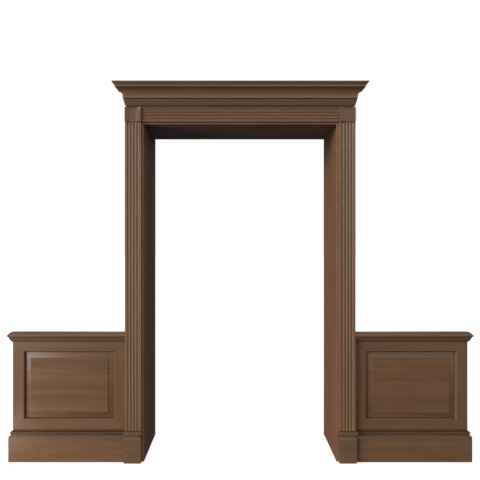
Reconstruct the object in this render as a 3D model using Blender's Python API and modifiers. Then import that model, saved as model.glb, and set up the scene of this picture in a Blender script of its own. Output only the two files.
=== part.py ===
"""Wooden doorway: a lined opening with fluted pilasters and a cornice, and a panelled dado on each side.

The front faces -Y, X runs across the opening and Z is up. The origin is on the floor, at the middle
of the whole work. Lengths are in metres.
"""

import math

import bmesh
import bpy
from mathutils import Matrix, Vector

# Gap left between two pieces that touch.
joint_gap = 0.0003

# Clear opening, and the wall that it passes through.
opening_width = 1.200
opening_height = 2.1005
wall_depth = 0.446

# Lining of the opening. Its thinner front edge comes forward beside the front casings, to a little behind
# their face; lining_reveal is how much of the lining shows beside a casing.
lining_thickness = 0.036
lining_arris = 0.002
lining_reveal = 0.014
lining_setback = 0.014

# Front pilasters and head casing.
pilaster_width = 0.102
pilaster_thickness = 0.051
flute_count = 4
flute_pitch = 0.0193
flute_width = 0.0125
pilaster_flute_depth = 0.0042
head_flute_depth = 0.0048
casing_arris = 0.0025

# Plinth blocks: a plain body, a rounded shoulder, a groove and a cap.
plinth_height = 0.1955
plinth_side_overhang = 0.0045
plinth_front_overhang = 0.016
plinth_cap_height = 0.0225
plinth_cap_overhang = 0.005
plinth_cap_round = 0.0035
plinth_groove_height = 0.0145
plinth_groove_depth = 0.006
plinth_shoulder_height = 0.016
plinth_shoulder_setback = 0.0035

# Corner blocks, with a scoop in the face that is deeper at the top.
corner_block_height = 0.092
corner_block_overhang = 0.008
corner_block_arris = 0.0015
scoop_radius = 0.125
scoop_top_depth = 0.0105
scoop_foot_depth = 0.0035
scoop_cutter_length = 0.280

# Cornice: how far its body line stands in front of the casing, then the bed and the crown.
cornice_lead = 0.018
bed_height = 0.042
bed_foot_setback = 0.011
bed_lip_setback = 0.004
bed_lip_rise = 0.0075
bed_lip_hollow = 0.0025
bed_lip_height = 0.0016
bed_top_reach = 0.006
crown_neck_reach = -0.004
crown_neck_height = 0.006
crown_fillet_reach = 0.008
crown_fillet_height = 0.0127
cove_reach = 0.0485
cove_height = 0.047
cove_hollow = 0.0095
crown_band_height = 0.006
crown_lean_height = 0.019
crown_lean_hollow = 0.0018
crown_lip_reach = 0.064
crown_lip_height = 0.006

# Back of the doorway.
back_casing_thickness = 0.030
back_block_overhang = 0.004
back_fillet_reach = 0.004
back_fillet_height = 0.012
back_cove_reach = 0.030
back_cove_height = 0.026
back_cove_hollow = 0.0055
back_lip_step = 0.003
back_lip_height = 0.016

# Dado wings.
wing_width = 0.705
dado_height = 0.806
frame_thickness = 0.026
stile_width = 0.0755
top_rail_height = 0.067
bottom_rail_height = 0.0712
sticking_width = 0.0075
sticking_depth = 0.013
sticking_swell = 0.0015
frame_lip_depth = 0.0165
rebate_width = 0.009
frame_arris = 0.001

# Raised panel: the tongue that lies in the rebate, the bevel and the field.
panel_tongue_gap = 0.002
panel_bevel_width = 0.0354
panel_field_depth = 0.0025
panel_field_step = 0.0026
panel_field_arris = 0.0008

# Skirting.
skirting_reach = 0.0205
skirting_arris = 0.002
skirting_cap_height = 0.0462
cap_quirk_depth = 0.002
cap_quirk_height = 0.0012
cap_bead_height = 0.0022
cap_slope_reach = 0.0095
cap_slope_top = 0.0135
cap_throat_reach = 0.0085
cap_throat_hollow = 0.0012
cap_band_reach = 0.0145
cap_band_lean = 0.004
cap_band_foot = 0.024
cap_band_top = 0.031
cap_brow = 0.003
cap_brow_top = 0.0345
cap_neck_reach = -0.006
cap_neck_foot = 0.036
cap_neck_hollow = 0.0012

# Chair rail.
chair_rail_height = 0.060
rail_foot_reach = 0.004
rail_lip_reach = 0.0155
rail_lip_height = 0.020
rail_lip_swell = 0.0012
rail_nose_hollow = 0.0025
rail_nose_reach = 0.028
rail_nose_foot = 0.0365
rail_nose_height = 0.004
rail_top_reach = 0.010
rail_top_swell = 0.0008

# Facets on the round stretches.
flute_facets = 8
cove_facets = 9
small_facets = 4
scoop_facets = 128
arris_facets = 2

# Turns between two faces, in degrees: those that stay sharp, and those that a bevel rounds.
sharp_turn = 28
rounded_turn = 40

# Lines that the pieces share, worked out from the sizes above.
casing_inner = opening_width / 2 + lining_reveal
casing_outer = casing_inner + pilaster_width
casing_middle = (casing_inner + casing_outer) / 2
head_foot = opening_height + lining_reveal
head_top = head_foot + corner_block_height
bed_foot = head_top + joint_gap
crown_foot = bed_foot + bed_height + joint_gap
crown_height = (crown_neck_height + crown_fillet_height + cove_height + crown_band_height
                + crown_lean_height + crown_lip_height)
front_reach = pilaster_thickness + cornice_lead + crown_lip_reach
back_reach = back_casing_thickness + back_cove_reach + back_lip_step
front_wall = front_reach - (front_reach + wall_depth + back_reach) / 2
back_wall = front_wall + wall_depth
wing_inner = casing_outer + joint_gap
wing_outer = casing_outer + wing_width
frame_foot = plinth_height + joint_gap
frame_top = dado_height - chair_rail_height - joint_gap
skirting_board_height = plinth_height - skirting_cap_height - joint_gap
plinth_outer = casing_outer + plinth_side_overhang
lining_front = front_wall - pilaster_thickness + lining_setback
mitre_gap = joint_gap * math.sqrt(2)

# Sides of the doorway: the left one lies at -X.
sides = {"left": -1, "right": 1}

# Colours of the wood, as it looks on each group of pieces.
wood_colours = {
    "pilaster": (0.205, 0.135, 0.092),
    "casing": (0.180, 0.112, 0.075),
    "cornice": (0.120, 0.078, 0.052),
    "lining": (0.150, 0.090, 0.060),
    "frame": (0.175, 0.108, 0.070),
    "panel": (0.190, 0.118, 0.076),
    "moulding": (0.160, 0.098, 0.064),
}
wood_roughness = 0.42


def clear_scene():
    """Removes what the scene holds, so that only the doorway is in it."""
    for item in list(bpy.data.objects):
        bpy.data.objects.remove(item, do_unlink=True)


def new_collection(name):
    """A collection linked to the scene."""
    group = bpy.data.collections.new(name)
    bpy.context.scene.collection.children.link(group)
    return group


def wood(name, colour):
    """Satin wood of one colour."""
    material = bpy.data.materials.new(name)
    material.use_nodes = True
    shader = material.node_tree.nodes["Principled BSDF"]
    shader.inputs["Base Color"].default_value = (*colour, 1.0)
    shader.inputs["Roughness"].default_value = wood_roughness
    shader.inputs["Metallic"].default_value = 0.0
    material.diffuse_color = (*colour, 1.0)
    return material


def add_object(name, mesh, group):
    """Puts a mesh in the scene under a name."""
    item = bpy.data.objects.new(name, mesh)
    group.objects.link(item)
    return item


def grow(name, rings, kind):
    """A piece that starts as the face of its first ring and is extruded through the others."""
    shape = bmesh.new()
    corners = [shape.verts.new(point) for point in rings[0]]
    face = shape.faces.new(corners)
    for number, ring in enumerate(rings[1:]):
        grown = bmesh.ops.extrude_face_region(shape, geom=[face])
        if number > 0:
            bmesh.ops.delete(shape, geom=[face], context="FACES_ONLY")
        face = next(part for part in grown["geom"] if isinstance(part, bmesh.types.BMFace))
        copies = {tuple(corner.co): corner for corner in face.verts}
        corners = [copies[tuple(corner.co)] for corner in corners]
        for corner, point in zip(corners, ring):
            corner.co = point
    bmesh.ops.recalc_face_normals(shape, faces=shape.faces)
    if shape.calc_volume(signed=True) < 0:
        bmesh.ops.reverse_faces(shape, faces=shape.faces)
    mesh = bpy.data.meshes.new(name)
    shape.to_mesh(mesh)
    shape.free()
    mesh.shade_smooth()
    mesh.set_sharp_from_angle(angle=math.radians(sharp_turn))
    mesh.materials.append(wood(name, wood_colours[kind]))
    return add_object(name, mesh, doorway)


def arc(start, end, rise, facets):
    """Points on a round stretch from start to end; rise is its height to the left of the way there."""
    first = Vector(start)
    last = Vector(end)
    chord = last - first
    half = chord.length / 2
    side = Vector((-chord.y, chord.x)).normalized()
    radius = (half * half + rise * rise) / (2 * abs(rise))
    centre = (first + last) / 2 + side * (rise - math.copysign(radius, rise))
    sweep = 2 * math.asin(min(1.0, half / radius))
    turn = -math.copysign(sweep, rise)
    spoke = first - centre
    points = []
    for step in range(facets + 1):
        angle = turn * step / facets
        turned = Matrix.Rotation(angle, 2) @ spoke
        points.append(tuple(centre + turned))
    return points


def rounding(start, end):
    """A round stretch that leaves start upright and leans over to end."""
    across = abs(end[0] - start[0])
    up = end[1] - start[1]
    lean = math.atan2(across, up)
    return arc(start, end, -math.hypot(across, up) / 2 * math.tan(lean / 2), small_facets)


def quarter_round(corner, radius, start_angle):
    """Points on a convex quarter circle whose centre is at corner, turned from start_angle by 90 degrees."""
    points = []
    for step in range(small_facets + 1):
        angle = math.radians(start_angle + 90 * step / small_facets)
        points.append((corner[0] + radius * math.cos(angle), corner[1] + radius * math.sin(angle)))
    return points


def bevelled(item, width):
    """Rounds the sharp edges of a piece."""
    modifier = item.modifiers.new("rounded edges", "BEVEL")
    modifier.width = width
    modifier.segments = arris_facets
    modifier.limit_method = "ANGLE"
    modifier.angle_limit = math.radians(rounded_turn)
    return item


def block(name, low, high, kind):
    """A plain squared piece between two corners."""
    bottom = [(low[0], low[1], low[2]), (high[0], low[1], low[2]),
              (high[0], high[1], low[2]), (low[0], high[1], low[2])]
    top = [(x, y, high[2]) for x, y, _ in bottom]
    return grow(name, [bottom, top], kind)


def level(left, right, back, front, height):
    """One level of a moulding whose sides are flat: its four corners."""
    return [(left, back, height), (right, back, height), (right, front, height), (left, front, height)]


def fluted_outline(width, thickness, flute_depth):
    """Section of a casing, with its middle at 0 and its back on the line 0; the face is at -thickness.

    A depth of 0 leaves the face plain.
    """
    half = width / 2
    outline = [(-half, 0.0)]
    outline += quarter_round((-half + casing_arris, -thickness + casing_arris), casing_arris, 180)
    if flute_depth > 0:
        first = -flute_pitch * (flute_count - 1) / 2
        for number in range(flute_count):
            centre = first + number * flute_pitch
            outline += arc((centre - flute_width / 2, -thickness), (centre + flute_width / 2, -thickness),
                           flute_depth, flute_facets)
    outline += quarter_round((half - casing_arris, -thickness + casing_arris), casing_arris, 270)
    outline.append((half, 0.0))
    return outline


def upright_casing(name, centre, wall, facing, thickness, flute_depth):
    """A pilaster between its plinth block and its corner block; facing is 1 at the front, -1 behind."""
    outline = fluted_outline(pilaster_width, thickness, flute_depth)
    ends = (plinth_height + joint_gap, head_foot - joint_gap)
    rings = [[(centre + across, wall + facing * deep, height) for across, deep in outline] for height in ends]
    return grow(name, rings, "pilaster")


def head_casing(name, wall, facing, thickness, flute_depth):
    """The casing over the opening, between the two corner blocks."""
    outline = fluted_outline(corner_block_height, thickness, flute_depth)
    middle = (head_foot + head_top) / 2
    reach = casing_inner - joint_gap
    rings = [[(end, wall + facing * deep, middle + across) for across, deep in outline]
             for end in (-reach, reach)]
    return grow(name, rings, "casing")


def plinth_profile():
    """Plinth block from the floor up, as (reach beyond the body, height)."""
    cap_foot = plinth_height - plinth_cap_height
    groove_foot = cap_foot - plinth_groove_height
    shoulder_foot = groove_foot - plinth_shoulder_height
    shoulder = rounding((0.0, shoulder_foot), (-plinth_shoulder_setback, groove_foot))
    turn = plinth_cap_overhang - plinth_cap_round
    round_foot = quarter_round((turn, cap_foot + plinth_cap_round), plinth_cap_round, 270)
    round_top = quarter_round((turn, plinth_height - plinth_cap_round), plinth_cap_round, 0)
    profile = [(0.0, 0.0)] + shoulder
    profile += [(-plinth_groove_depth, groove_foot), (-plinth_groove_depth, cap_foot)]
    return profile + round_foot + round_top


def plinth_level(side, wall, facing, front, reach, height, beside_lip):
    """One level of a plinth block; beside the lip of the lining its inner side keeps to the casing's edge."""
    outer = side * (plinth_outer + reach)
    inner = side * (casing_inner - reach)
    corners = [(outer, wall, height), (outer, front, height), (inner, front, height)]
    if not beside_lip:
        return corners + [(inner, wall, height)]
    kept = side * (casing_inner + joint_gap)
    stop = lining_front - facing * joint_gap
    return corners + [(inner, stop, height), (kept, stop, height), (kept, wall, height)]


def plinth_block(name, side, wall, facing, thickness, beside_lip):
    """A plinth block whose mouldings run round its face and its sides."""
    rings = []
    for reach, height in plinth_profile():
        front = wall - facing * (thickness + plinth_front_overhang + reach)
        rings.append(plinth_level(side, wall, facing, front, reach, height, beside_lip))
    return grow(name, rings, "pilaster")


def scoop_cutter(name, centre, face):
    """A round bar, leaning so that it cuts deeper at the top of a corner block than at its foot."""
    lean = math.atan2(scoop_top_depth - scoop_foot_depth, corner_block_height)
    shape = bmesh.new()
    bmesh.ops.create_cone(shape, cap_ends=True, segments=scoop_facets, radius1=scoop_radius,
                          radius2=scoop_radius, depth=scoop_cutter_length)
    mesh = bpy.data.meshes.new(name)
    shape.to_mesh(mesh)
    shape.free()
    cutter = add_object(name, mesh, cutters)
    depth = (scoop_top_depth + scoop_foot_depth) / 2
    cutter.location = (centre, face + depth - scoop_radius / math.cos(lean), (head_foot + head_top) / 2)
    cutter.rotation_euler = (-lean, 0.0, 0.0)
    cutter.hide_render = True
    cutter.display_type = "WIRE"
    return cutter


def corner_block(name, centre, wall, facing, thickness):
    """A squared block at the meeting of pilaster and head casing."""
    half = pilaster_width / 2
    face = wall - facing * thickness
    low = (centre - half, min(wall, face), head_foot)
    high = (centre + half, max(wall, face), head_top)
    item = block(name, low, high, "casing")
    return bevelled(item, corner_block_arris)


def scooped(item, cutter):
    """Cuts the scoop out of a corner block."""
    modifier = item.modifiers.new("scoop", "BOOLEAN")
    modifier.operation = "DIFFERENCE"
    modifier.solver = "EXACT"
    modifier.object = cutter
    return item


def bed_profile():
    """Bed of the cornice, as (reach beyond the body line, height above its foot)."""
    profile = arc((-bed_foot_setback, 0.0), (-bed_lip_setback, bed_lip_rise), bed_lip_hollow, small_facets)
    profile += [(-bed_lip_setback, bed_lip_rise + bed_lip_height), (bed_top_reach, bed_height)]
    return profile


def crown_profile():
    """Crown of the cornice: neck, fillet, cove, band, leaning fascia and lip."""
    fillet_foot = crown_neck_height
    cove_foot = fillet_foot + crown_fillet_height
    cove_top = cove_foot + cove_height
    band_top = cove_top + crown_band_height
    lip_foot = band_top + crown_lean_height
    profile = [(crown_neck_reach, 0.0), (crown_neck_reach, fillet_foot), (crown_fillet_reach, fillet_foot)]
    profile += arc((crown_fillet_reach, cove_foot), (cove_reach, cove_top), cove_hollow, cove_facets)
    profile += arc((cove_reach, band_top), (crown_lip_reach, lip_foot), crown_lean_hollow, small_facets)
    profile.append((crown_lip_reach, crown_height))
    return profile


def back_cornice_profile():
    """The smaller cornice behind: fillet, cove and lip."""
    cove_top = back_fillet_height + back_cove_height
    lip_reach = back_cove_reach + back_lip_step
    profile = [(back_fillet_reach, 0.0)]
    profile += arc((back_fillet_reach, back_fillet_height), (back_cove_reach, cove_top),
                   back_cove_hollow, cove_facets)
    profile += [(lip_reach, cove_top), (lip_reach, cove_top + back_lip_height)]
    return profile


def cornice_piece(name, profile, foot, wall, facing, lead):
    """A length of cornice, returned to the wall at both ends."""
    rings = []
    for reach, rise in profile:
        half = casing_outer + reach
        rings.append(level(-half, half, wall, wall - facing * (lead + reach), foot + rise))
    return grow(name, rings, "cornice")


def wing_moulding(name, profile, foot, side, inner):
    """A moulding along a wing that butts inside and is returned to the wall at its outer end."""
    rings = []
    for reach, rise in profile:
        outer = side * (wing_outer + reach)
        face = front_wall - frame_thickness - reach
        rings.append(level(side * inner, outer, front_wall, face, foot + rise))
    return grow(name, rings, "moulding")


def skirting_cap_profile():
    """Moulding on top of the skirting: quirk, sloping bead, throat, leaning band, neck under the frame."""
    profile = [(skirting_reach - cap_quirk_depth, 0.0), (skirting_reach - cap_quirk_depth, cap_quirk_height),
               (skirting_reach, cap_quirk_height)]
    bead_top = cap_quirk_height + cap_bead_height
    profile += rounding((skirting_reach, bead_top), (cap_slope_reach, cap_slope_top))
    profile += arc((cap_throat_reach, cap_slope_top), (cap_band_reach - cap_band_lean, cap_band_foot),
                   cap_throat_hollow, small_facets)
    profile += rounding((cap_band_reach, cap_band_top), (cap_band_reach - cap_brow, cap_brow_top))
    profile += arc((cap_neck_reach, cap_neck_foot), (0.0, skirting_cap_height), cap_neck_hollow, small_facets)
    return profile


def skirting_board_profile():
    """Plain skirting with a softened upper edge."""
    shoulder = skirting_board_height - skirting_arris
    profile = [(skirting_reach, 0.0)]
    return profile + quarter_round((skirting_reach - skirting_arris, shoulder), skirting_arris, 0)


def chair_rail_profile():
    """Chair rail: leaning lip, hollow under the nose, nose and sloping top."""
    profile = arc((rail_foot_reach, 0.0), (rail_lip_reach, rail_lip_height), -rail_lip_swell, small_facets)
    throat = profile.pop()
    profile += arc(throat, (rail_nose_reach, rail_nose_foot), rail_nose_hollow, small_facets)
    profile += arc((rail_nose_reach, rail_nose_foot + rail_nose_height), (rail_top_reach, chair_rail_height),
                   -rail_top_swell, small_facets)
    return profile


def frame_section(width):
    """Section of a frame member, as (across from the outer edge, depth behind the face)."""
    inner = width - sticking_width
    return ([(frame_arris, 0.0)]
            + arc((inner, 0.0), (width, sticking_depth), -sticking_swell, small_facets)
            + [(width, frame_lip_depth), (width - rebate_width, frame_lip_depth),
               (width - rebate_width, frame_thickness), (0.0, frame_thickness), (0.0, frame_arris)])


def frame_member(name, side, width, ends, place):
    """A mitred member: ends holds, for each end, its outer position and its shift per unit across."""
    rings = []
    for start, slope in ends:
        ring = []
        for across, deep in frame_section(width):
            x, z = place(across, start + slope * across)
            ring.append((side * x, front_wall - frame_thickness + deep, z))
        rings.append(ring)
    return grow(name, rings, "frame")


def panel_frame(name, side):
    """The four mitred members round a raised panel."""
    rail_ratio = stile_width / top_rail_height
    foot_ratio = stile_width / bottom_rail_height
    stile_ends = [(frame_foot, bottom_rail_height / stile_width), (frame_top, -top_rail_height / stile_width)]
    frame_member(f"panel_inner_stile_{name}", side, stile_width, stile_ends,
                 lambda across, along: (wing_inner + across, along))
    frame_member(f"panel_outer_stile_{name}", side, stile_width, stile_ends,
                 lambda across, along: (wing_outer - across, along))
    rail_start = wing_inner + mitre_gap
    rail_end = wing_outer - mitre_gap
    frame_member(f"panel_top_rail_{name}", side, top_rail_height,
                 [(rail_start, rail_ratio), (rail_end, -rail_ratio)],
                 lambda across, along: (along, frame_top - across))
    frame_member(f"panel_bottom_rail_{name}", side, bottom_rail_height,
                 [(rail_start, foot_ratio), (rail_end, -foot_ratio)],
                 lambda across, along: (along, frame_foot + across))


def raised_panel(name, side):
    """A panel whose tongue lies in the rebate, with a bevel up to a flat field."""
    left = wing_inner + stile_width
    right = wing_outer - stile_width
    foot = frame_foot + bottom_rail_height
    top = frame_top - top_rail_height
    tongue_face = frame_lip_depth + joint_gap
    tongue_reach = rebate_width - panel_tongue_gap
    field_foot = panel_field_depth + panel_field_step
    levels = [(-tongue_reach, frame_thickness), (-tongue_reach, tongue_face), (0.0, tongue_face),
              (panel_bevel_width, field_foot), (panel_bevel_width, panel_field_depth + panel_field_arris),
              (panel_bevel_width + panel_field_arris, panel_field_depth)]
    rings = []
    for inset, deep in levels:
        y = front_wall - frame_thickness + deep
        rings.append([(side * (left + inset), y, foot + inset), (side * (right - inset), y, foot + inset),
                      (side * (right - inset), y, top - inset), (side * (left + inset), y, top - inset)])
    return grow(f"raised_panel_{name}", rings, "panel")


def lining_section(thickness, lip):
    """Section of the lining, as (out from the opening, depth): a board with a thinner lip."""
    front = front_wall + joint_gap
    back = back_wall - joint_gap
    section = [(lip, front), (thickness, front), (thickness, back)]
    section += quarter_round((lining_arris, back - lining_arris), lining_arris, 90)
    section += quarter_round((lining_arris, lining_front + lining_arris), lining_arris, 180)
    return section + [(lip, lining_front)]


def build_lining():
    """Jamb linings on both sides and the head lining that is housed between them."""
    section = lining_section(lining_thickness, lining_reveal - joint_gap)
    jamb_top = opening_height + lining_reveal - joint_gap
    for name, side in sides.items():
        rings = [[(side * (opening_width / 2 + out), deep, height) for out, deep in section]
                 for height in (0.0, jamb_top)]
        grow(f"jamb_lining_{name}", rings, "lining")
    reach = opening_width / 2 - joint_gap
    rings = [[(end, deep, opening_height + out) for out, deep in section] for end in (-reach, reach)]
    grow("head_lining", rings, "lining")


def build_front():
    """Plinth blocks, pilasters, corner blocks, head casing and cornice on the face of the wall."""
    block_thickness = pilaster_thickness + corner_block_overhang
    for name, side in sides.items():
        centre = side * casing_middle
        plinth_block(f"plinth_block_front_{name}", side, front_wall, 1, pilaster_thickness, True)
        upright_casing(f"pilaster_front_{name}", centre, front_wall, 1, pilaster_thickness,
                       pilaster_flute_depth)
        cutter = scoop_cutter(f"scoop_{name}", centre, front_wall - block_thickness)
        item = corner_block(f"corner_block_front_{name}", centre, front_wall, 1, block_thickness)
        scooped(item, cutter)
    head_casing("head_casing_front", front_wall, 1, pilaster_thickness, head_flute_depth)
    lead = pilaster_thickness + cornice_lead
    cornice_piece("cornice_bed_front", bed_profile(), bed_foot, front_wall, 1, lead)
    cornice_piece("cornice_crown_front", crown_profile(), crown_foot, front_wall, 1, lead)


def build_back():
    """The plainer casings, blocks and cornice on the other face of the wall."""
    block_thickness = back_casing_thickness + back_block_overhang
    for name, side in sides.items():
        centre = side * casing_middle
        plinth_block(f"plinth_block_back_{name}", side, back_wall, -1, back_casing_thickness, False)
        upright_casing(f"pilaster_back_{name}", centre, back_wall, -1, back_casing_thickness, 0.0)
        corner_block(f"corner_block_back_{name}", centre, back_wall, -1, block_thickness)
    head_casing("head_casing_back", back_wall, -1, back_casing_thickness, 0.0)
    cornice_piece("cornice_back", back_cornice_profile(), bed_foot, back_wall, -1, back_casing_thickness)


def build_wings():
    """Skirting, framed panel and chair rail on each side of the doorway."""
    cap_foot = skirting_board_height + joint_gap
    for name, side in sides.items():
        wing_moulding(f"skirting_board_{name}", skirting_board_profile(), 0.0, side, plinth_outer + joint_gap)
        wing_moulding(f"skirting_cap_{name}", skirting_cap_profile(), cap_foot, side,
                      plinth_outer + plinth_cap_overhang + joint_gap)
        panel_frame(name, side)
        raised_panel(name, side)
        wing_moulding(f"chair_rail_{name}", chair_rail_profile(), dado_height - chair_rail_height, side,
                      wing_inner)


clear_scene()
doorway = new_collection("wooden_doorway")
cutters = new_collection("cutters")
build_lining()
build_front()
build_back()
build_wings()
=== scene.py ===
"""Looks of the wooden doorway: fine mouldings and satin walnut-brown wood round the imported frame.

Every solid of the frame is replaced by a finer mesh of the same form, in the same place. The front faces
-Y, X runs across the opening and Z is up. Lengths are in metres.
"""

import math

import bmesh
import bpy
from mathutils import Matrix, Vector


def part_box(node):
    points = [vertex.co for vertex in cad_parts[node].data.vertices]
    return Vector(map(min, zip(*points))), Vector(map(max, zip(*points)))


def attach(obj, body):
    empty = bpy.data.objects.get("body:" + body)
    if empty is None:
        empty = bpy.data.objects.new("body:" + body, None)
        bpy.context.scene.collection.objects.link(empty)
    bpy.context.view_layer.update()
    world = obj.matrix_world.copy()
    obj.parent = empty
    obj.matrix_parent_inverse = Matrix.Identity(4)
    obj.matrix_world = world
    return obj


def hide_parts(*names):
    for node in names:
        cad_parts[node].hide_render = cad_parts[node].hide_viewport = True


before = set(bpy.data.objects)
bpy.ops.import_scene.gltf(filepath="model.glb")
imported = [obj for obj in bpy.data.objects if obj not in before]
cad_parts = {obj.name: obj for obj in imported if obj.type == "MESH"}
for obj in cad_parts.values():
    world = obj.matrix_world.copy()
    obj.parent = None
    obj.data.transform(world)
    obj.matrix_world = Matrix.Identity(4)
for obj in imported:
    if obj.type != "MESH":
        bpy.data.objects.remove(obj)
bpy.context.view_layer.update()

# Facets on the round stretches, the softened arrises, and how flat the faces beside them look.
flute_facets = 18
cove_facets = 24
small_facets = 10
scoop_facets = 320
arris_facets = 3
arris_turn = math.radians(26)
flatness = 80
fine_arris = 0.0007
broad_arris = 0.0016

# Flutes of the front casings.
flute_count = 4
flute_pitch = 0.0193
flute_width = 0.0125
pilaster_flute_depth = 0.0042
head_flute_depth = 0.0048
casing_arris = 0.0025

# Plinth block mouldings, in front of and above its plain body.
plinth_cap_height = 0.0225
plinth_cap_overhang = 0.005
plinth_cap_round = 0.0035
plinth_groove_height = 0.0145
plinth_groove_depth = 0.006
plinth_shoulder_height = 0.016
plinth_shoulder_setback = 0.0035
plinth_arris = 0.0012

# Lining of the opening.
lining_arris = 0.002

# Scoop in the face of a corner block.
scoop_radius = 0.125
scoop_top_depth = 0.0105
scoop_foot_depth = 0.0035
scoop_cutter_length = 0.280

# Cornice bed, as reaches beyond the body line and rises above its foot.
bed_foot_setback = 0.011
bed_lip_setback = 0.004
bed_lip_rise = 0.0075
bed_lip_hollow = 0.0025
bed_lip_height = 0.0016
bed_top_reach = 0.006

# Cornice crown.
crown_neck_reach = -0.004
crown_neck_height = 0.006
crown_fillet_reach = 0.008
crown_fillet_height = 0.0127
cove_reach = 0.0485
cove_height = 0.047
cove_hollow = 0.0095
crown_band_height = 0.006
crown_lean_height = 0.019
crown_lean_hollow = 0.0018
crown_lip_reach = 0.064

# Cornice behind.
back_fillet_reach = 0.004
back_fillet_height = 0.012
back_cove_reach = 0.030
back_cove_height = 0.026
back_cove_hollow = 0.0055
back_lip_step = 0.003

# Panel frame and raised panel.
stile_width = 0.0755
sticking_width = 0.0075
sticking_depth = 0.013
sticking_swell = 0.0015
frame_lip_depth = 0.0165
rebate_width = 0.009
frame_arris = 0.001
panel_tongue_gap = 0.002
panel_bevel_width = 0.0354
panel_field_step = 0.0026
panel_field_arris = 0.0008
panel_arris = 0.0004

# Gap between neighbours, and the length that the rails gain to close it at the mitres.
joint_gap = 0.0003
mitre_fill = 0.0004

# Skirting and its cap.
skirting_arris = 0.002
cap_quirk_depth = 0.002
cap_quirk_height = 0.0012
cap_bead_height = 0.0022
cap_slope_reach = 0.0095
cap_slope_top = 0.0135
cap_throat_reach = 0.0085
cap_throat_hollow = 0.0012
cap_band_reach = 0.0145
cap_band_lean = 0.004
cap_band_foot = 0.024
cap_band_top = 0.031
cap_brow = 0.003
cap_brow_top = 0.0345
cap_neck_reach = -0.006
cap_neck_foot = 0.036
cap_neck_hollow = 0.0012

# Chair rail.
rail_foot_reach = 0.004
rail_lip_reach = 0.0155
rail_lip_height = 0.020
rail_lip_swell = 0.0012
rail_nose_hollow = 0.0025
rail_nose_foot = 0.0365
rail_nose_height = 0.004
rail_top_reach = 0.010
rail_top_swell = 0.0008

# Lines of the frame that the pieces share, and the two sides with their sign of X.
front_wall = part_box("pilaster_front_left")[1].y
frame_thickness = front_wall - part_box("panel_top_rail_left")[0].y
sides = {"left": -1, "right": 1}

# Ends of a length of moulding, as the numbers of its sides.
far_end = 1
near_end = 3

# Wood of each group of pieces: its middle tone as a linear colour, how far its streaks go from that tone,
# and how far the tone drifts from place to place.
tones = {
    "pilaster_wood": ((0.2055, 0.1120, 0.0583), 0.13, 0.04),
    "casing_wood": ((0.2060, 0.1060, 0.0520), 0.13, 0.04),
    "cornice_wood": ((0.2270, 0.1268, 0.0655), 0.13, 0.04),
    "lining_wood": ((0.2200, 0.1042, 0.0500), 0.16, 0.13),
    "frame_wood": ((0.1478, 0.0757, 0.0370), 0.14, 0.05),
    "panel_wood": ((0.1665, 0.0826, 0.0372), 0.22, 0.06),
    "moulding_wood": ((0.1690, 0.0893, 0.0450), 0.14, 0.05),
}

# Pieces drawn darker than the rest of their group, with the factor on their tone. On the cornice bed and the
# skirting cap this is painted shade: the shade under the crown's overhang and on the cap's leaning, recessed
# faces. The plinth and corner blocks are simply drawn darker.
darker_tone_and_painted_shade = {"plinth_block": 0.79, "corner_block": 0.82, "skirting_cap": 0.72, "cornice_bed": 0.72}

# Patterns in the wood: features per metre along and across the grain, octaves of detail, and how strong
# the finer octaves are.
sway_noise = (1.3, 5.0, 2.0, 0.5)
figure_noise = (1.1, 34.0, 3.0, 0.55)
fibre_noise = (5.0, 230.0, 3.0, 0.6)
pore_noise = (34.0, 950.0, 1.0, 0.5)
drift_noise = (0.6, 9.0, 1.0, 0.5)

# Steps through the log from one piece to the next, and how far the streaks wander across the grain.
log_steps = (1.37, 0.73, 0.41)
sway = 0.055

# Shares of figure and fibres in the streaks, and shares of the drift in red, green and blue.
figure_share = 0.72
fibre_share = 0.28
redder_shares = (0.0, 1.0, 2.0)
paler_shares = (1.0, 1.0, 1.3)

# Where each layer passes from one tone to the next.
streak_stops = (0.34, 0.50, 0.66)
drift_stops = (0.36, 0.50, 0.64)
pore_stops = (0.30, 0.40)
arris_stops = (0.50, 0.60)
ledge_stops = (0.60, 0.96)

# Factors on the tone: plain wood, open pores, arrises lighter by wear and by a painted highlight, and
# painted shade on the tops of ledges.
plain = (1.0, 1.0, 1.0)
pore_tone = (0.70, 0.66, 0.62)
wear_and_highlight_tone = (1.22, 1.20, 1.17)
ledge_shade_tone = (0.50, 0.46, 0.42)

# Lacquer: its roughness and what the fibres add to it, its coat, and the relief of fibres and pores.
least_roughness = 0.36
fibre_roughness = 0.16
lacquer_ior = 1.47
coat_weight = 0.18
coat_roughness = 0.32
fibre_relief = 0.4
relief_strength = 0.35
relief_depth = 0.00012

# Camera, at eye level in front of the opening.
camera_place = (-0.03, -3.539, 1.3655)
sensor_width = 36.0
lens_length = 39.9
lens_shift = (0.0096, 0.0052)

# Stage: a pale floor just under the feet, inside a white dome, and a faint cool light from all sides.
floor_size = 120.0
floor_drop = 0.0005
floor_glow = 0.84
floor_reflectance = 0.5
dome_radius = 50.0
dome_glow = 1.0
paint_roughness = 0.9
surround_colour = (0.75, 1.0, 1.25, 1.0)
surround_strength = 0.040

# Distant lights: azimuth to the left of the camera, elevation above the floor and spread, all in degrees,
# and strength.
suns = {
    "key": (54.0, 13.0, 20.0, 1.40),
    "left": (70.0, 20.0, 20.0, 0.92),
    "right": (-37.0, 16.0, 40.0, 0.53),
    "front": (0.0, 20.0, 40.0, 0.25),
    "top": (0.0, 70.0, 40.0, 0.38),
    "behind": (180.0, 30.0, 10.0, 1.5),
    "side_left": (90.0, 12.0, 12.0, 0.7),
    "side_right": (-90.0, 12.0, 12.0, 0.7),
}

# Near lights beside the left wing: place, point aimed at, size, power and colour.
glows = {
    "low_glow": ((-2.6, -1.6, 0.9), (-1.0, -0.2, 0.4), 0.9, 16.6, (1.0, 1.0, 1.0)),
    "skirting_glow": ((-1.54, -0.52, 0.13), (-1.34, -0.23, 0.12), 0.18, 0.30, (1.0, 0.84, 0.88)),
}


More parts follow.
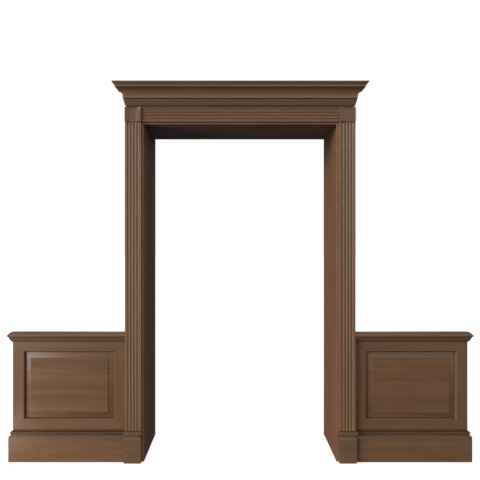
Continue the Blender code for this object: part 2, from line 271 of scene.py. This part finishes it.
def add_node(tree, kind, **sockets):
    """A shader node; each keyword sets the input socket of that name, spaces written as underscores."""
    node = tree.nodes.new(kind)
    for name, value in sockets.items():
        socket = node.inputs[name.replace("_", " ")]
        if isinstance(value, bpy.types.NodeSocket):
            tree.links.new(value, socket)
        else:
            socket.default_value = value
    return node


def calculate(tree, operation, first, second):
    """One arithmetic step between two values or sockets."""
    node = tree.nodes.new("ShaderNodeMath")
    node.operation = operation
    for socket, value in zip(node.inputs, (first, second)):
        if isinstance(value, bpy.types.NodeSocket):
            tree.links.new(value, socket)
        else:
            socket.default_value = value
    return node.outputs[0]


def ramp(tree, value, positions, colours):
    """A colour ramp with a colour at each position."""
    node = tree.nodes.new("ShaderNodeValToRGB")
    tree.links.new(value, node.inputs[0])
    elements = node.color_ramp.elements
    while len(elements) < len(positions):
        elements.new(0.5)
    for element, position, colour in zip(elements, positions, colours):
        element.position = position
        element.color = (*colour, 1.0)
    return node.outputs["Color"]


def tinted(tree, colour, factor):
    """One colour multiplied by another, through the colour sockets of a mix node."""
    node = tree.nodes.new("ShaderNodeMix")
    node.data_type = "RGBA"
    node.blend_type = "MULTIPLY"
    node.inputs[0].default_value = 1.0
    tree.links.new(colour, node.inputs[6])
    tree.links.new(factor, node.inputs[7])
    return node.outputs[2]


def grain_place(tree, axis, seed):
    """Object coordinates with the grain along the first one, moved to a fresh part of the log."""
    place = tree.nodes.new("ShaderNodeTexCoord").outputs["Object"]
    parts = tree.nodes.new("ShaderNodeSeparateXYZ")
    tree.links.new(place, parts.inputs[0])
    order = {"X": "XYZ", "Y": "YXZ", "Z": "ZXY"}[axis]
    turned = tree.nodes.new("ShaderNodeCombineXYZ")
    for target, source in zip("XYZ", order):
        tree.links.new(parts.outputs[source], turned.inputs[target])
    moved = tree.nodes.new("ShaderNodeVectorMath")
    moved.operation = "ADD"
    tree.links.new(turned.outputs[0], moved.inputs[0])
    moved.inputs[1].default_value = tuple(seed * step for step in log_steps)
    return moved.outputs[0]


def pattern(tree, place, noise):
    """Noise drawn out along the grain."""
    along, across, detail, roughness = noise
    stretch = tree.nodes.new("ShaderNodeVectorMath")
    stretch.operation = "MULTIPLY"
    tree.links.new(place, stretch.inputs[0])
    stretch.inputs[1].default_value = (along, across, across)
    return add_node(tree, "ShaderNodeTexNoise", Vector=stretch.outputs[0], Scale=1.0, Detail=detail,
                    Roughness=roughness)


def wood_patterns(tree, axis, seed):
    """Figure, fibres, pores and drift of a piece's wood, as values from 0 to 1."""
    place = grain_place(tree, axis, seed)
    bent = tree.nodes.new("ShaderNodeVectorMath")
    bent.operation = "MULTIPLY_ADD"
    tree.links.new(pattern(tree, place, sway_noise).outputs["Color"], bent.inputs[0])
    bent.inputs[1].default_value = (0.0, sway, sway)
    tree.links.new(place, bent.inputs[2])
    found = [pattern(tree, bent.outputs[0], noise) for noise in (figure_noise, fibre_noise, pore_noise)]
    found.append(pattern(tree, place, drift_noise))
    return [node.outputs["Fac"] for node in found]


def streaks(tree, slot, shade, figure, fibre):
    """Darker and lighter streaks round the middle tone."""
    middle, depth, _ = tones[slot]
    mixed = calculate(tree, "MULTIPLY", figure, figure_share)
    mixed = calculate(tree, "ADD", mixed, calculate(tree, "MULTIPLY", fibre, fibre_share))
    levels = (1.0 - depth, 1.0, 1.0 + depth)
    colours = [tuple(value * shade * factor for value in middle) for factor in levels]
    return ramp(tree, mixed, streak_stops, colours)


def drifting(tree, slot, drift):
    """Slow drift from redder to paler wood, as a factor."""
    depth = tones[slot][2]
    redder = [1.0 - share * depth for share in redder_shares]
    paler = [1.0 + share * depth for share in paler_shares]
    return ramp(tree, drift, drift_stops, [redder, plain, paler])


def worn_and_highlit_arrises(tree):
    """Lighter wood where an arris sticks out, as a factor: partly wear, partly a painted highlight."""
    edge = tree.nodes.new("ShaderNodeNewGeometry").outputs["Pointiness"]
    return ramp(tree, edge, arris_stops, [plain, wear_and_highlight_tone])


def painted_ledge_shade(tree):
    """Painted shade: darker wood on faces that look up, as a factor."""
    # Painted shade: the more a face looks up, the darker it is drawn.
    upward = tree.nodes.new("ShaderNodeSeparateXYZ")
    tree.links.new(tree.nodes.new("ShaderNodeNewGeometry").outputs["Normal"], upward.inputs[0])
    return ramp(tree, upward.outputs["Z"], ledge_stops, [plain, ledge_shade_tone])


def lacquer(tree, shader, fibre, pores):
    """Satin coat with an uneven sheen, over the fine relief of fibres and pores."""
    rough = calculate(tree, "ADD", calculate(tree, "MULTIPLY", fibre, fibre_roughness), least_roughness)
    tree.links.new(rough, shader.inputs["Roughness"])
    shader.inputs["IOR"].default_value = lacquer_ior
    shader.inputs["Coat Weight"].default_value = coat_weight
    shader.inputs["Coat Roughness"].default_value = coat_roughness
    relief = calculate(tree, "ADD", calculate(tree, "MULTIPLY", fibre, fibre_relief), pores)
    bump = add_node(tree, "ShaderNodeBump", Height=relief, Strength=relief_strength, Distance=relief_depth)
    tree.links.new(bump.outputs["Normal"], shader.inputs["Normal"])


def wood(slot, axis, seed, shade):
    """Satin lacquered wood with its grain along one axis; the shade darkens it as a whole."""
    material = bpy.data.materials.new(f"{slot}_{axis.lower()}_{seed}")
    material.use_nodes = True
    tree = material.node_tree
    shader = tree.nodes["Principled BSDF"]
    figure, fibre, pore, drift = wood_patterns(tree, axis, seed)
    pores = ramp(tree, pore, pore_stops, [pore_tone, plain])
    colour = streaks(tree, slot, shade, figure, fibre)
    # Layers on the tone: drift, pores, arrises lighter by wear and by a painted highlight, and painted shade
    # on faces that look up.
    for layer in (drifting(tree, slot, drift), pores, worn_and_highlit_arrises(tree), painted_ledge_shade(tree)):
        colour = tinted(tree, colour, layer)
    tree.links.new(colour, shader.inputs["Base Color"])
    lacquer(tree, shader, fibre, pores)
    return material


def arc(start, end, rise, facets):
    """Points on a round stretch from start to end; rise is its height to the left of the way there."""
    first = Vector(start)
    last = Vector(end)
    chord = last - first
    half = chord.length / 2
    side = Vector((-chord.y, chord.x)).normalized()
    radius = (half * half + rise * rise) / (2 * abs(rise))
    centre = (first + last) / 2 + side * (rise - math.copysign(radius, rise))
    turn = -math.copysign(2 * math.asin(min(1.0, half / radius)), rise)
    spoke = first - centre
    return [tuple(centre + Matrix.Rotation(turn * step / facets, 2) @ spoke) for step in range(facets + 1)]


def rounding(start, end):
    """A round stretch that leaves start upright and leans over to end."""
    across = abs(end[0] - start[0])
    up = end[1] - start[1]
    lean = math.atan2(across, up)
    return arc(start, end, -math.hypot(across, up) / 2 * math.tan(lean / 2), small_facets)


def quarter_round(centre, radius, start_angle):
    """Points on a convex quarter circle, turned from start_angle by 90 degrees."""
    angles = [math.radians(start_angle + 90 * step / small_facets) for step in range(small_facets + 1)]
    return [(centre[0] + radius * math.cos(angle), centre[1] + radius * math.sin(angle)) for angle in angles]


def skin(name, rings, slot, axis, turned_axis=None, turned_sides=(), arris=fine_arris):
    """A closed piece through its rings of corners, which replaces the node of its name.

    Its arrises are softened. The sides numbered in turned_sides have their grain along turned_axis.
    """
    shape = bmesh.new()
    loops = [[shape.verts.new(point) for point in ring] for ring in rings]
    count = len(rings[0])
    for lower, upper in zip(loops, loops[1:]):
        for number in range(count):
            after = (number + 1) % count
            face = shape.faces.new((lower[number], lower[after], upper[after], upper[number]))
            face.material_index = int(number in turned_sides)
    shape.faces.new(loops[0])
    shape.faces.new(loops[-1])
    bmesh.ops.recalc_face_normals(shape, faces=shape.faces)
    if shape.calc_volume(signed=True) < 0:
        bmesh.ops.reverse_faces(shape, faces=shape.faces)
    mesh = bpy.data.meshes.new(name)
    shape.to_mesh(mesh)
    shape.free()
    return dress(name, mesh, slot, axis, turned_axis, arris)


def dress(name, mesh, slot, axis, turned_axis, arris):
    """Names a mesh after the node that it replaces, and gives it its wood and its softened arrises.

    With no arris given, the form has its own rounded corners and its other edges stay crisp.
    """
    mesh.shade_smooth()
    if arris is None:
        mesh.set_sharp_from_angle(angle=arris_turn)
    item = bpy.data.objects.new(f"{name}_fine", mesh)
    bpy.context.scene.collection.objects.link(item)
    seed = len(bpy.data.materials)
    # Darker factor of the piece, which on the cornice bed and the skirting cap is painted shade.
    shade = next((value for start, value in darker_tone_and_painted_shade.items() if name.startswith(start)), 1.0)
    mesh.materials.append(wood(slot, axis, seed, shade))
    if turned_axis:
        mesh.materials.append(wood(slot, turned_axis, seed + 1, shade))
    if arris is not None:
        soften(item, arris)
    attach(item, "root")
    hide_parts(name)
    return item


def soften(item, width):
    """Rounds the arrises of a piece and keeps its flats looking flat."""
    bevel = item.modifiers.new("arrises", "BEVEL")
    bevel.width = width
    bevel.segments = arris_facets
    bevel.limit_method = "ANGLE"
    bevel.angle_limit = arris_turn
    normals = item.modifiers.new("flat faces", "WEIGHTED_NORMAL")
    normals.weight = flatness


def height_of(name):
    """Height of a node."""
    low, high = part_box(name)
    return high.z - low.z


def level(near, far, back, front, height):
    """One level of a moulding with flat sides, which are numbered back, far end, front and near end."""
    return [(near, back, height), (far, back, height), (far, front, height), (near, front, height)]


def squared(name, slot, axis, arris):
    """A plain squared piece that fills its node's box."""
    low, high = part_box(name)
    rings = [level(low.x, high.x, high.y, low.y, height) for height in (low.z, high.z)]
    return skin(name, rings, slot, axis, arris=arris)


def casing_section(width, thickness, flute_depth):
    """Section of a casing, as (across from its middle, depth in front of the wall).

    A depth of 0 leaves its face plain.
    """
    half = width / 2
    section = [(-half, 0.0)]
    section += quarter_round((-half + casing_arris, -thickness + casing_arris), casing_arris, 180)
    if flute_depth > 0:
        first = -flute_pitch * (flute_count - 1) / 2
        for number in range(flute_count):
            centre = first + number * flute_pitch
            section += arc((centre - flute_width / 2, -thickness), (centre + flute_width / 2, -thickness),
                           flute_depth, flute_facets)
    section += quarter_round((half - casing_arris, -thickness + casing_arris), casing_arris, 270)
    section.append((half, 0.0))
    return section


def facing(name):
    """The wall line behind a piece, and 1 for the front of the doorway or -1 for its back."""
    low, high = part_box(name)
    return (high.y, 1) if "front" in name else (low.y, -1)


def pilaster(name, flute_depth):
    """An upright casing between its plinth block and its corner block."""
    low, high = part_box(name)
    wall, turn = facing(name)
    middle = (low.x + high.x) / 2
    section = casing_section(high.x - low.x, high.y - low.y, flute_depth)
    rings = [[(middle + across, wall + turn * deep, height) for across, deep in section]
             for height in (low.z, high.z)]
    return skin(name, rings, "pilaster_wood", "Z")


def head_casing(name, flute_depth):
    """The casing over the opening."""
    low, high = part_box(name)
    wall, turn = facing(name)
    middle = (low.z + high.z) / 2
    section = casing_section(high.z - low.z, high.y - low.y, flute_depth)
    rings = [[(end, wall + turn * deep, middle + across) for across, deep in section]
             for end in (low.x, high.x)]
    return skin(name, rings, "casing_wood", "X")


def plinth_profile(height):
    """Plinth block from the floor up: plain body, rounded shoulder, groove and cap."""
    cap_foot = height - plinth_cap_height
    groove_foot = cap_foot - plinth_groove_height
    shoulder_foot = groove_foot - plinth_shoulder_height
    bend = plinth_cap_overhang - plinth_cap_round
    profile = [(0.0, 0.0)]
    profile += rounding((0.0, shoulder_foot), (-plinth_shoulder_setback, groove_foot))
    profile += [(-plinth_groove_depth, groove_foot), (-plinth_groove_depth, cap_foot)]
    profile += quarter_round((bend, cap_foot + plinth_cap_round), plinth_cap_round, 270)
    return profile + quarter_round((bend, height - plinth_cap_round), plinth_cap_round, 0)


def plinth_outline(inner, outer, thickness, beside_lip):
    """Plan of a plinth block, as (out from the middle of the opening, depth in front of the wall)."""
    turn = thickness - plinth_arris
    outline = [(outer, 0.0)]
    outline += quarter_round((outer - plinth_arris, turn), plinth_arris, 0)
    outline += quarter_round((inner + plinth_arris, turn), plinth_arris, 90)
    if not beside_lip:
        return outline + [(inner, 0.0)]
    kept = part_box("pilaster_front_right")[0].x + joint_gap
    lip_front = front_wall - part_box("head_lining")[0].y + joint_gap
    return outline + [(inner, lip_front), (kept, lip_front), (kept, 0.0)]


def plinth_block(name):
    """A plinth block whose mouldings run round its face and its sides."""
    low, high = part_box(name)
    wall, turn = facing(name)
    side = math.copysign(1, low.x)
    inner, outer = sorted((abs(low.x), abs(high.x)))
    rings = []
    for reach, rise in plinth_profile(high.z - low.z):
        spare = plinth_cap_overhang - reach
        outline = plinth_outline(inner + spare, outer - spare, high.y - low.y - spare, turn > 0)
        rings.append([(side * out, wall - turn * deep, rise) for out, deep in outline])
    return skin(name, rings, "pilaster_wood", "X", arris=None)


def lining_section(front, back, thickness, lip):
    """Section of the lining, as (out from the opening, depth): a board with a thin lip by the casings."""
    wall = front_wall + joint_gap
    section = [(lip, wall), (thickness, wall), (thickness, back)]
    section += quarter_round((lining_arris, back - lining_arris), lining_arris, 90)
    section += quarter_round((lining_arris, front + lining_arris), lining_arris, 180)
    return section + [(lip, front)]


def lining(name):
    """A board of the lining: a jamb, or the head between the jambs."""
    low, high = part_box(name)
    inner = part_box("jamb_lining_right")[0].x
    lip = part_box("pilaster_front_right")[0].x - inner - joint_gap
    if name == "head_lining":
        section = lining_section(low.y, high.y, high.z - low.z, lip)
        rings = [[(end, deep, low.z + out) for out, deep in section] for end in (low.x, high.x)]
        return skin(name, rings, "lining_wood", "X", arris=None)
    side = math.copysign(1, low.x)
    section = lining_section(low.y, high.y, high.x - low.x, lip)
    rings = [[(side * (inner + out), deep, height) for out, deep in section] for height in (low.z, high.z)]
    return skin(name, rings, "lining_wood", "Z", arris=None)


def corner_block(name, scooped):
    """A squared block between pilaster and head casing; in front its face is hollowed, deeper at the top."""
    item = squared(name, "casing_wood", "Z", broad_arris)
    if not scooped:
        return item
    low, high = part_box(name)
    lean = math.atan2(scoop_top_depth - scoop_foot_depth, high.z - low.z)
    shape = bmesh.new()
    bmesh.ops.create_cone(shape, cap_ends=True, segments=scoop_facets, radius1=scoop_radius,
                          radius2=scoop_radius, depth=scoop_cutter_length)
    mesh = bpy.data.meshes.new(f"{name}_scoop")
    shape.to_mesh(mesh)
    shape.free()
    mesh.shade_smooth()
    cutter = bpy.data.objects.new(f"{name}_scoop", mesh)
    bpy.context.scene.collection.objects.link(cutter)
    depth = (scoop_top_depth + scoop_foot_depth) / 2
    middle = (low + high) / 2
    cutter.location = (middle.x, low.y + depth - scoop_radius / math.cos(lean), middle.z)
    cutter.rotation_euler = (-lean, 0.0, 0.0)
    cutter.hide_render = True
    cutter.hide_viewport = True
    cut = item.modifiers.new("scoop", "BOOLEAN")
    cut.operation = "DIFFERENCE"
    cut.solver = "EXACT"
    cut.object = cutter
    item.modifiers.move(len(item.modifiers) - 1, 0)
    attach(cutter, "root")
    return item


def bed_profile(height):
    """Bed of the cornice, as (reach beyond the body line, rise)."""
    profile = arc((-bed_foot_setback, 0.0), (-bed_lip_setback, bed_lip_rise), bed_lip_hollow, small_facets)
    return profile + [(-bed_lip_setback, bed_lip_rise + bed_lip_height), (bed_top_reach, height)]


def crown_profile(height):
    """Crown of the cornice: neck, fillet, cove, band, leaning fascia and lip."""
    cove_foot = crown_neck_height + crown_fillet_height
    cove_top = cove_foot + cove_height
    band_top = cove_top + crown_band_height
    lean_top = band_top + crown_lean_height
    profile = [(crown_neck_reach, 0.0), (crown_neck_reach, crown_neck_height),
               (crown_fillet_reach, crown_neck_height)]
    profile += arc((crown_fillet_reach, cove_foot), (cove_reach, cove_top), cove_hollow, cove_facets)
    profile += arc((cove_reach, band_top), (crown_lip_reach, lean_top), crown_lean_hollow, small_facets)
    return profile + [(crown_lip_reach, height)]


def back_cornice_profile(height):
    """The smaller cornice behind: fillet, cove and lip."""
    cove_top = back_fillet_height + back_cove_height
    lip_reach = back_cove_reach + back_lip_step
    profile = [(back_fillet_reach, 0.0)]
    profile += arc((back_fillet_reach, back_fillet_height), (back_cove_reach, cove_top),
                   back_cove_hollow, cove_facets)
    return profile + [(lip_reach, cove_top), (lip_reach, height)]


def cornice(name, make_profile):
    """A length of cornice, returned to the wall at both ends with its grain turned."""
    low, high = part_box(name)
    wall, turn = facing(name)
    profile = make_profile(high.z - low.z)
    widest = max(reach for reach, _ in profile)
    half = high.x - widest
    depth = high.y - low.y - widest
    rings = [level(-half - reach, half + reach, wall, wall - turn * (depth + reach), low.z + rise)
             for reach, rise in profile]
    return skin(name, rings, "cornice_wood", "X", "Y", (far_end, near_end))


def wing_moulding(name, side, profile):
    """A moulding along a wing, returned to the wall at its outer end with its grain turned."""
    low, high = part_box(name)
    widest = max(reach for reach, _ in profile)
    inner, outer = (low.x, high.x) if side > 0 else (high.x, low.x)
    rings = []
    for reach, rise in profile:
        end = outer - side * (widest - reach)
        rings.append(level(inner, end, high.y, high.y - frame_thickness - reach, low.z + rise))
    return skin(name, rings, "moulding_wood", "X", "Y", (far_end,))


def skirting_board_profile(reach, height):
    """Plain skirting with a softened upper edge."""
    centre = (reach - skirting_arris, height - skirting_arris)
    return [(reach, 0.0)] + quarter_round(centre, skirting_arris, 0)


def skirting_cap_profile(reach, height):
    """Moulding on top of the skirting: quirk, sloping bead, throat, leaning band, neck under the frame."""
    profile = [(reach - cap_quirk_depth, 0.0), (reach - cap_quirk_depth, cap_quirk_height),
               (reach, cap_quirk_height)]
    profile += rounding((reach, cap_quirk_height + cap_bead_height), (cap_slope_reach, cap_slope_top))
    profile += arc((cap_throat_reach, cap_slope_top), (cap_band_reach - cap_band_lean, cap_band_foot),
                   cap_throat_hollow, small_facets)
    profile += rounding((cap_band_reach, cap_band_top), (cap_band_reach - cap_brow, cap_brow_top))
    return profile + arc((cap_neck_reach, cap_neck_foot), (0.0, height), cap_neck_hollow, small_facets)


def chair_rail_profile(height):
    """Chair rail: leaning lip, hollow under the nose, nose and sloping top."""
    nose_reach = front_wall - frame_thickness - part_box("chair_rail_left")[0].y
    profile = arc((rail_foot_reach, 0.0), (rail_lip_reach, rail_lip_height), -rail_lip_swell, small_facets)
    throat = profile.pop()
    profile += arc(throat, (nose_reach, rail_nose_foot), rail_nose_hollow, small_facets)
    profile += arc((nose_reach, rail_nose_foot + rail_nose_height), (rail_top_reach, height),
                   -rail_top_swell, small_facets)
    return profile


def frame_section(width):
    """Section of a frame member, as (across from the outer edge, depth behind the face)."""
    inner = width - sticking_width
    return ([(frame_arris, 0.0)]
            + arc((inner, 0.0), (width, sticking_depth), -sticking_swell, small_facets)
            + [(width, frame_lip_depth), (width - rebate_width, frame_lip_depth),
               (width - rebate_width, frame_thickness), (0.0, frame_thickness), (0.0, frame_arris)])


def frame_member(name, axis, width, ends, place):
    """A mitred member of the frame.

    For each end, ends gives where the outer edge stops and how far the mitre runs along per unit across.
    """
    rings = []
    for start, slope in ends:
        ring = []
        for across, deep in frame_section(width):
            x, z = place(across, start + slope * across)
            ring.append((x, front_wall - frame_thickness + deep, z))
        rings.append(ring)
    return skin(name, rings, "frame_wood", axis, arris=None)


def panel_frame(wing, side):
    """The four mitred members round a raised panel."""
    for part in ("inner", "outer"):
        name = f"panel_{part}_stile_{wing}"
        low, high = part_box(name)
        outward = side if part == "outer" else -side
        edge = high.x if outward > 0 else low.x
        top_shift = height_of(f"panel_top_rail_{wing}") / stile_width
        foot_shift = height_of(f"panel_bottom_rail_{wing}") / stile_width
        frame_member(name, "Z", stile_width, [(low.z, foot_shift), (high.z, -top_shift)],
                     lambda across, along, edge=edge, outward=outward: (edge - outward * across, along))
    for part, upward in (("top", 1), ("bottom", -1)):
        name = f"panel_{part}_rail_{wing}"
        low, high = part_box(name)
        edge = high.z if upward > 0 else low.z
        shift = stile_width / height_of(name)
        ends = [(low.x - mitre_fill, shift), (high.x + mitre_fill, -shift)]
        frame_member(name, "X", height_of(name), ends,
                     lambda across, along, edge=edge, upward=upward: (along, edge - upward * across))


def raised_panel(name):
    """A panel whose tongue lies in the rebate, with a bevel up to a flat field."""
    low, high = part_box(name)
    tongue = rebate_width - panel_tongue_gap
    face = low.y
    tongue_face = front_wall - frame_thickness + frame_lip_depth + joint_gap
    levels = [(-tongue, high.y), (-tongue, tongue_face), (0.0, tongue_face),
              (panel_bevel_width, face + panel_field_step),
              (panel_bevel_width, face + panel_field_arris), (panel_bevel_width + panel_field_arris, face)]
    rings = []
    for inset, y in levels:
        shift = tongue + inset
        rings.append([(low.x + shift, y, low.z + shift), (high.x - shift, y, low.z + shift),
                      (high.x - shift, y, high.z - shift), (low.x + shift, y, high.z - shift)])
    return skin(name, rings, "panel_wood", "X", arris=panel_arris)


def build_doorway():
    """Lining, casings, blocks and cornices on both faces of the wall."""
    for hand in sides:
        lining(f"jamb_lining_{hand}")
        plinth_block(f"plinth_block_front_{hand}")
        plinth_block(f"plinth_block_back_{hand}")
        pilaster(f"pilaster_front_{hand}", pilaster_flute_depth)
        pilaster(f"pilaster_back_{hand}", 0.0)
        corner_block(f"corner_block_front_{hand}", True)
        corner_block(f"corner_block_back_{hand}", False)
    lining("head_lining")
    head_casing("head_casing_front", head_flute_depth)
    head_casing("head_casing_back", 0.0)
    cornice("cornice_bed_front", bed_profile)
    cornice("cornice_crown_front", crown_profile)
    cornice("cornice_back", back_cornice_profile)


def build_wings():
    """Skirting, framed panel and chair rail on each side."""
    for hand, side in sides.items():
        board = f"skirting_board_{hand}"
        cap = f"skirting_cap_{hand}"
        rail = f"chair_rail_{hand}"
        low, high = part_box(board)
        reach = high.y - low.y - frame_thickness
        wing_moulding(board, side, skirting_board_profile(reach, height_of(board)))
        wing_moulding(cap, side, skirting_cap_profile(reach, height_of(cap)))
        wing_moulding(rail, side, chair_rail_profile(height_of(rail)))
        panel_frame(hand, side)
        raised_panel(f"raised_panel_{hand}")


def add_camera():
    """Camera in front of the opening, looking straight at the wall."""
    data = bpy.data.cameras.new("camera")
    data.sensor_width = sensor_width
    data.lens = lens_length
    data.shift_x, data.shift_y = lens_shift
    camera = bpy.data.objects.new("camera", data)
    camera.location = camera_place
    camera.rotation_euler = (math.radians(90), 0.0, 0.0)
    bpy.context.scene.collection.objects.link(camera)
    bpy.context.scene.camera = camera


def add_glow(name, place, target, size, power, colour):
    """A soft square light aimed at a point."""
    data = bpy.data.lights.new(name, "AREA")
    data.shape = "SQUARE"
    data.size = size
    data.energy = power
    data.color = colour
    light = bpy.data.objects.new(name, data)
    light.location = place
    light.rotation_euler = (Vector(target) - Vector(place)).to_track_quat("-Z", "Y").to_euler()
    bpy.context.scene.collection.objects.link(light)


def add_sun(name, azimuth, elevation, spread, strength):
    """A broad distant light, with its angles in degrees."""
    data = bpy.data.lights.new(name, "SUN")
    data.angle = math.radians(spread)
    data.energy = strength
    light = bpy.data.objects.new(name, data)
    turn = math.radians(azimuth)
    rise = math.radians(elevation)
    travel = Vector((math.sin(turn) * math.cos(rise), math.cos(turn) * math.cos(rise), -math.sin(rise)))
    light.rotation_euler = travel.to_track_quat("-Z", "Y").to_euler()
    bpy.context.scene.collection.objects.link(light)


def glowing(name, strength, reflectance):
    """Matt white paint that also gives off some light, so that it stays pale in the picture."""
    material = bpy.data.materials.new(name)
    material.use_nodes = True
    shader = material.node_tree.nodes["Principled BSDF"]
    shader.inputs["Base Color"].default_value = (reflectance, reflectance, reflectance, 1.0)
    shader.inputs["Roughness"].default_value = paint_roughness
    shader.inputs["Specular IOR Level"].default_value = 0.0
    shader.inputs["Emission Color"].default_value = (1.0, 1.0, 1.0, 1.0)
    shader.inputs["Emission Strength"].default_value = strength
    return material


def add_surface(name, item, material):
    """A part of the stage that is seen but lights nothing."""
    item.name = name
    item.data.materials.append(material)
    item.visible_diffuse = False
    item.visible_glossy = False
    return item


def add_stage():
    """Floor, dome and the light that comes from all sides."""
    bpy.ops.mesh.primitive_plane_add(size=floor_size, location=(0.0, 0.0, -floor_drop))
    add_surface("floor", bpy.context.object, glowing("floor_paint", floor_glow, floor_reflectance))
    bpy.ops.mesh.primitive_uv_sphere_add(radius=dome_radius)
    dome = add_surface("dome", bpy.context.object, glowing("dome_paint", dome_glow, 0.0))
    dome.visible_shadow = False
    world = bpy.data.worlds.new("surround")
    bpy.context.scene.world = world
    world.use_nodes = True
    background = world.node_tree.nodes["Background"]
    background.inputs["Color"].default_value = surround_colour
    background.inputs["Strength"].default_value = surround_strength


def add_lights():
    """The distant and the near lights, with tones shown as they are."""
    for name, (azimuth, elevation, spread, strength) in suns.items():
        add_sun(name, azimuth, elevation, spread, strength)
    for name, (place, target, size, power, colour) in glows.items():
        add_glow(name, place, target, size, power, colour)
    bpy.context.scene.view_settings.view_transform = "Standard"


build_doorway()
build_wings()
add_camera()
add_stage()
add_lights()
